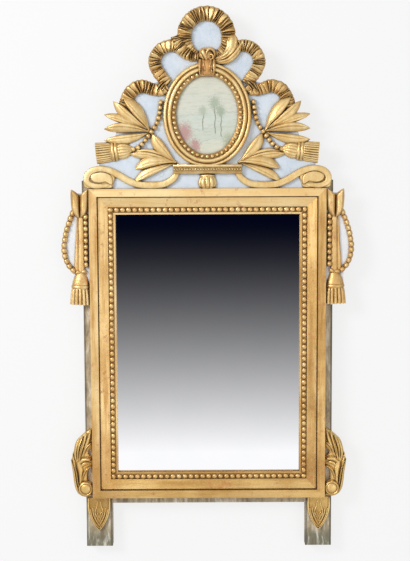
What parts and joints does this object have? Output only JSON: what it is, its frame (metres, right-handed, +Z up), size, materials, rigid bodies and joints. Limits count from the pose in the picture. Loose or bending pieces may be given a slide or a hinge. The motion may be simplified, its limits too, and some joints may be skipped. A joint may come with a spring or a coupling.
{
  "type": "trumeau mirror",
  "caption": "Tall wall mirror in a mitred pearl moulding, with a carved crest holding an oval medallion, side pendants, two feet and a hanging ring.",
  "frame": {"origin": "centre of the mirror opening, on the wall plane that the back of the carcass lies in", "axes": "+X to the viewer's right, +Z up, +Y into the wall; the front faces -Y"},
  "size_m": [0.6448, 0.062, 1.187],
  "materials": {
    "gilding": "water gilding over red bole on carved wood, worn on the high points",
    "carcass_paint": "thin grey-beige distemper on pine, worn and stained at the feet",
    "crest_paint": "matt pale blue paint, slightly mottled",
    "pendant_paint": "matt off-white paint with a cool cast",
    "painted_panel": "thin oil paint on a wood panel, sage and cream with dusty rose",
    "mirror_glass": "old flat mirror plate",
    "tin_amalgam": "dull grey tin amalgam, seen only from behind",
    "pine": "bare aged pine, hand planed",
    "iron": "forged iron with old rust"
  },
  "bodies": {
    "frame": {"backboard_centre": "pine", "backboard_left": "pine", "backboard_nails": "iron", "backboard_right": "pine", "batten_screws": "iron", "bead_row_bottom": "gilding", "bead_row_left": "gilding", "bead_row_right": "gilding", "bead_row_top": "gilding", "bottom_rail": "carcass_paint", "bow_knot": "gilding", "bow_left_loop": "gilding", "bow_left_tail": "gilding", "bow_right_loop": "gilding", "bow_right_tail": "gilding", "bow_top_loop": "gilding", "crest_board": "crest_paint", "crest_plinth": "gilding", "glass_blocks": "pine", "hanging_staple": "iron", "joint_pegs": "pine", "left_bead_string": "gilding", "left_corner_scroll": "gilding", "left_crest_batten": "pine", "left_crest_tassel": "gilding", "left_foot_leaf": "gilding", "left_husk": "gilding", "left_laurel_branch": "gilding", "left_laurel_spray": "gilding", "left_pendant_beads": "gilding", "left_pendant_board": "pendant_paint", "left_pendant_tassel": "gilding", "left_scroll": "gilding", "left_stile": "carcass_paint", "medallion_beads": "gilding", "medallion_frame": "gilding", "medallion_panel": "painted_panel", "mirror_glass": "mirror_glass", "moulding_bottom": "gilding", "moulding_left": "gilding", "moulding_right": "gilding", "moulding_top": "gilding", "plinth_bud": "gilding", "right_bead_string": "gilding", "right_corner_scroll": "gilding", "right_crest_batten": "pine", "right_crest_tassel": "gilding", "right_foot_leaf": "gilding", "right_husk": "gilding", "right_laurel_branch": "gilding", "right_laurel_spray": "gilding", "right_pendant_beads": "gilding", "right_pendant_board": "pendant_paint", "right_pendant_tassel": "gilding", "right_scroll": "gilding", "right_stile": "carcass_paint", "silvering": "tin_amalgam", "top_rail": "pine"},
    "ring": {"hanging_ring": "iron"}
  },
  "joints": [
    {"name": "ring_swing", "type": "hinge", "parent": "frame", "child": "ring", "pos_m": [0, -0.0058, 0.375], "axis": [1, 0, 0], "range_deg": [0, 180]}
  ]
}
